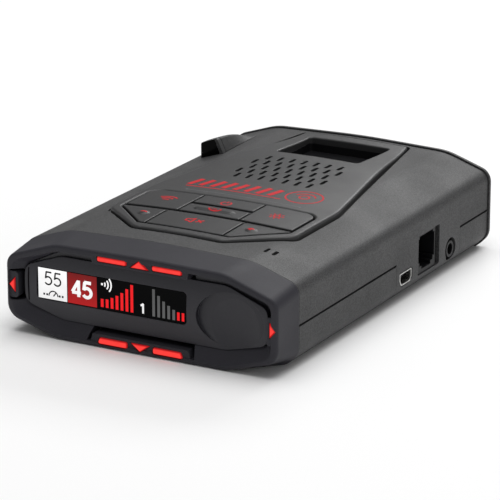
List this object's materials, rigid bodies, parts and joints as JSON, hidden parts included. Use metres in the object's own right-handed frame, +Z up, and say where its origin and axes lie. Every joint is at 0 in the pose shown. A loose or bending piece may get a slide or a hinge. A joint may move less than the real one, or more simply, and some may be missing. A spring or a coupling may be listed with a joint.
{
  "type": "radar detector",
  "caption": "Flat dashboard radar detector with a recessed display, lit arrows and bars round it, a key pad, a grille and a recess for its mount on top, and sockets on one side.",
  "frame": {"origin": "centre of the footprint, on the surface that the detector stands on", "axes": "+Z up, +Y towards the road ahead, -Y the display end, +X the side with the sockets"},
  "size_m": [0.0898, 0.138, 0.0331],
  "materials": {
    "case_plastic": "fine matt grain",
    "bezel_plastic": "satin, finer than the case",
    "red_ink": "pad printed",
    "grey_ink": "pad printed",
    "display_cells": "lit cells of the display",
    "deck_plastic": "fine matt grain",
    "face_plastic": "satin",
    "key_plastic": "satin with pale pictograms",
    "smoked_glass": "polished smoked acrylic",
    "light_pipe": "translucent red, lit from behind",
    "led_white": "clear moulded",
    "dark_board": "solder mask",
    "circuit_board": "solder mask",
    "socket_metal": "bright plated",
    "socket_plastic": "moulded",
    "contact_metal": "gold plated",
    "screw_metal": "black plated",
    "silicone": "soft matt",
    "speaker_metal": "plated",
    "speaker_paper": "pressed paper",
    "cloth": "woven",
    "horn_metal": "die cast",
    "chip_black": "moulded",
    "lens_glass": "polished",
    "ceramic": "fired",
    "ribbon": "satin film"
  },
  "bodies": {
    "detector": {"audio_jack": "socket_plastic", "cabin_horn": "horn_metal", "case_screws": "screw_metal", "display_module": "dark_board", "display_ribbon": "ribbon", "display_window": "smoked_glass", "down_arrow_light": "light_pipe", "face_plate": "face_plastic", "front_bezel": "bezel_plastic", "gps_bracket": "socket_plastic", "gps_patch": "ceramic", "indicator_leds": "led_white", "key_board": "circuit_board", "key_mat": "silicone", "laser_port_cover": "case_plastic", "laser_port_window": "smoked_glass", "laser_receiver": "socket_plastic", "left_arrow_light": "light_pipe", "light_board": "dark_board", "lower_case": "case_plastic", "lower_left_light_bar": "light_pipe", "lower_right_light_bar": "light_pipe", "main_board": "circuit_board", "microphone": "socket_metal", "modular_contacts": "contact_metal", "modular_jack": "socket_plastic", "mount_magnets": "socket_metal", "mount_pocket": "socket_plastic", "processor": "chip_black", "rear_cap": "case_plastic", "receiver_lens": "lens_glass", "rf_shield": "socket_metal", "right_arrow_light": "light_pipe", "road_horn": "horn_metal", "road_window": "smoked_glass", "speaker_cloth": "cloth", "speaker_cone": "speaker_paper", "speaker_frame": "speaker_metal", "top_deck": "deck_plastic", "up_arrow_light": "light_pipe", "upper_case": "case_plastic", "upper_left_light_bar": "light_pipe", "upper_right_light_bar": "light_pipe", "usb_socket": "socket_metal", "usb_tongue": "socket_plastic"},
    "sensitivity_button": {"sensitivity_key": "key_plastic"},
    "power_button": {"power_key": "key_plastic"},
    "mark_button": {"mark_key": "key_plastic"},
    "brightness_button": {"brightness_key": "key_plastic"},
    "minus_button": {"minus_key": "key_plastic"},
    "mute_button": {"mute_key": "key_plastic"},
    "plus_button": {"plus_key": "key_plastic"}
  },
  "joints": [
    {"name": "sensitivity_press", "type": "slide", "parent": "detector", "child": "sensitivity_button", "axis": [0, 0, -1], "range_m": [0, 0.0006], "stiffness_N_per_m": 1500},
    {"name": "power_press", "type": "slide", "parent": "detector", "child": "power_button", "axis": [0, 0, -1], "range_m": [0, 0.0006], "stiffness_N_per_m": 1500},
    {"name": "mark_press", "type": "slide", "parent": "detector", "child": "mark_button", "axis": [0, 0, -1], "range_m": [0, 0.0006], "stiffness_N_per_m": 1500},
    {"name": "brightness_press", "type": "slide", "parent": "detector", "child": "brightness_button", "axis": [0, 0, -1], "range_m": [0, 0.0006], "stiffness_N_per_m": 1500},
    {"name": "minus_press", "type": "slide", "parent": "detector", "child": "minus_button", "axis": [0, 0, -1], "range_m": [0, 0.0006], "stiffness_N_per_m": 1500},
    {"name": "mute_press", "type": "slide", "parent": "detector", "child": "mute_button", "axis": [0, 0, -1], "range_m": [0, 0.0006], "stiffness_N_per_m": 1500},
    {"name": "plus_press", "type": "slide", "parent": "detector", "child": "plus_button", "axis": [0, 0, -1], "range_m": [0, 0.0006], "stiffness_N_per_m": 1500}
  ]
}
